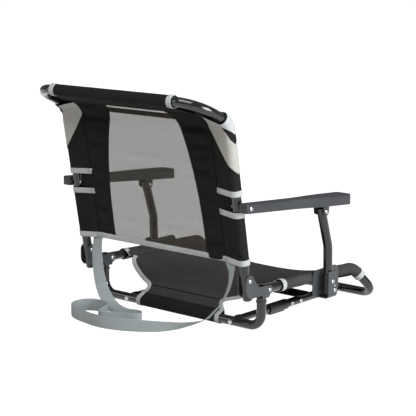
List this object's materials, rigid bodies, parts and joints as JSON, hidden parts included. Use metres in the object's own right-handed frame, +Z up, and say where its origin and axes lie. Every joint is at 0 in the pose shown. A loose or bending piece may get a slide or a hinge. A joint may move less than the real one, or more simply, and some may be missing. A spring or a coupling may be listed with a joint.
{
  "type": "low folding ground chair",
  "caption": "Low folding ground chair: tube frame, sling seat and back with a see-through middle, armrests, floor runners and a carry strap; back, arms and posts fold flat.",
  "frame": {"origin": "middle of the footprint, on the floor", "axes": "+X to the sitter's right, +Y where the sitter looks, +Z up"},
  "size_m": [0.6064, 0.6776, 0.5579],
  "materials": {
    "gunmetal_tube": "glossy dark grey powder coat",
    "bracket_grey": "satin grey paint on pressed steel",
    "bright_rivet": "bright domed rivet heads",
    "arm_plastic": "satin dark grey moulding",
    "black_plastic": "satin black moulding",
    "black_cloth": "plain black woven polyester",
    "seat_cloth": "dark coated mesh with a fine rib",
    "mesh_cloth": "pale see-through knitted mesh",
    "webbing": "grey woven webbing"
  },
  "bodies": {
    "base": {"seat_frame_tube": "gunmetal_tube", "rear_base_tube": "gunmetal_tube", "cross_brace": "black_plastic", "seat_panel": "seat_cloth", "seat_rear_sleeve": "seat_cloth", "seat_rear_flap": "seat_cloth", "carry_strap": "webbing", "runner_rivet_left_1": "bright_rivet", "runner_rivet_right_1": "bright_rivet", "runner_rivet_left_2": "bright_rivet", "runner_rivet_right_2": "bright_rivet", "hinge_bracket_left": "bracket_grey", "hinge_bracket_right": "bracket_grey", "back_pivot_rivet_left": "bright_rivet", "back_pivot_rivet_right": "bright_rivet", "rail_rivet_left": "bright_rivet", "rail_rivet_right": "bright_rivet", "runner_end_left": "black_plastic", "runner_end_right": "black_plastic", "runner_rear_left": "gunmetal_tube", "runner_rear_right": "gunmetal_tube", "runner_front_left": "gunmetal_tube", "runner_front_right": "gunmetal_tube", "runner_joiner_left": "black_plastic", "runner_joiner_right": "black_plastic", "base_rivet_left": "bright_rivet", "base_rivet_right": "bright_rivet", "side_bracket_left": "bracket_grey", "side_bracket_right": "bracket_grey", "bracket_rivet_left": "bright_rivet", "bracket_rivet_right": "bright_rivet", "post_pivot_pin_left": "bright_rivet", "post_pivot_pin_right": "bright_rivet", "post_stop_pin_left": "bright_rivet", "post_stop_pin_right": "bright_rivet", "seat_sleeve_left": "seat_cloth", "seat_sleeve_right": "seat_cloth"},
    "back": {"back_frame_tube": "gunmetal_tube", "back_mesh_panel": "mesh_cloth", "back_top_sleeve": "black_cloth", "upright_cap_left": "black_plastic", "upright_cap_right": "black_plastic", "back_side_panel_left": "black_cloth", "back_side_panel_right": "black_cloth", "back_sleeve_lower_left": "black_cloth", "back_sleeve_lower_right": "black_cloth", "back_sleeve_upper_left": "black_cloth", "back_sleeve_upper_right": "black_cloth", "arm_pivot_rivet_left": "bright_rivet", "arm_pivot_rivet_right": "bright_rivet", "arm_spacer_left": "black_plastic", "arm_spacer_right": "black_plastic"},
    "arm_left": {"armrest_left": "arm_plastic", "post_top_rivet_left": "bright_rivet"},
    "post_left": {"post_left": "gunmetal_tube", "post_sleeve_left": "black_plastic"},
    "arm_right": {"armrest_right": "arm_plastic", "post_top_rivet_right": "bright_rivet"},
    "post_right": {"post_right": "gunmetal_tube", "post_sleeve_right": "black_plastic"}
  },
  "joints": [
    {"name": "back_fold", "type": "hinge", "parent": "base", "child": "back", "pos_m": [0, -0.16063, 0.133], "axis": [-1, 0, 0], "range_deg": [0, 96]},
    {"name": "post_left_swing", "type": "hinge", "parent": "base", "child": "post_left", "pos_m": [-0.2807, 0.11137, 0.0875], "axis": [-1, 0, 0], "range_deg": [0, 96]},
    {"name": "arm_left_swing", "type": "hinge", "parent": "back", "child": "arm_left", "pos_m": [-0.2807, -0.19063, 0.306], "axis": [-1, 0, 0], "range_deg": [-96, 0]},
    {"name": "post_right_swing", "type": "hinge", "parent": "base", "child": "post_right", "pos_m": [0.2807, 0.11137, 0.0875], "axis": [-1, 0, 0], "range_deg": [0, 96]},
    {"name": "arm_right_swing", "type": "hinge", "parent": "back", "child": "arm_right", "pos_m": [0.2807, -0.19063, 0.306], "axis": [-1, 0, 0], "range_deg": [-96, 0]}
  ],
  "couplings": [
    {"joint": "post_left_swing", "follows": "back_fold", "ratio": 1},
    {"joint": "arm_left_swing", "follows": "back_fold", "ratio": -1},
    {"joint": "post_right_swing", "follows": "back_fold", "ratio": 1},
    {"joint": "arm_right_swing", "follows": "back_fold", "ratio": -1}
  ]
}
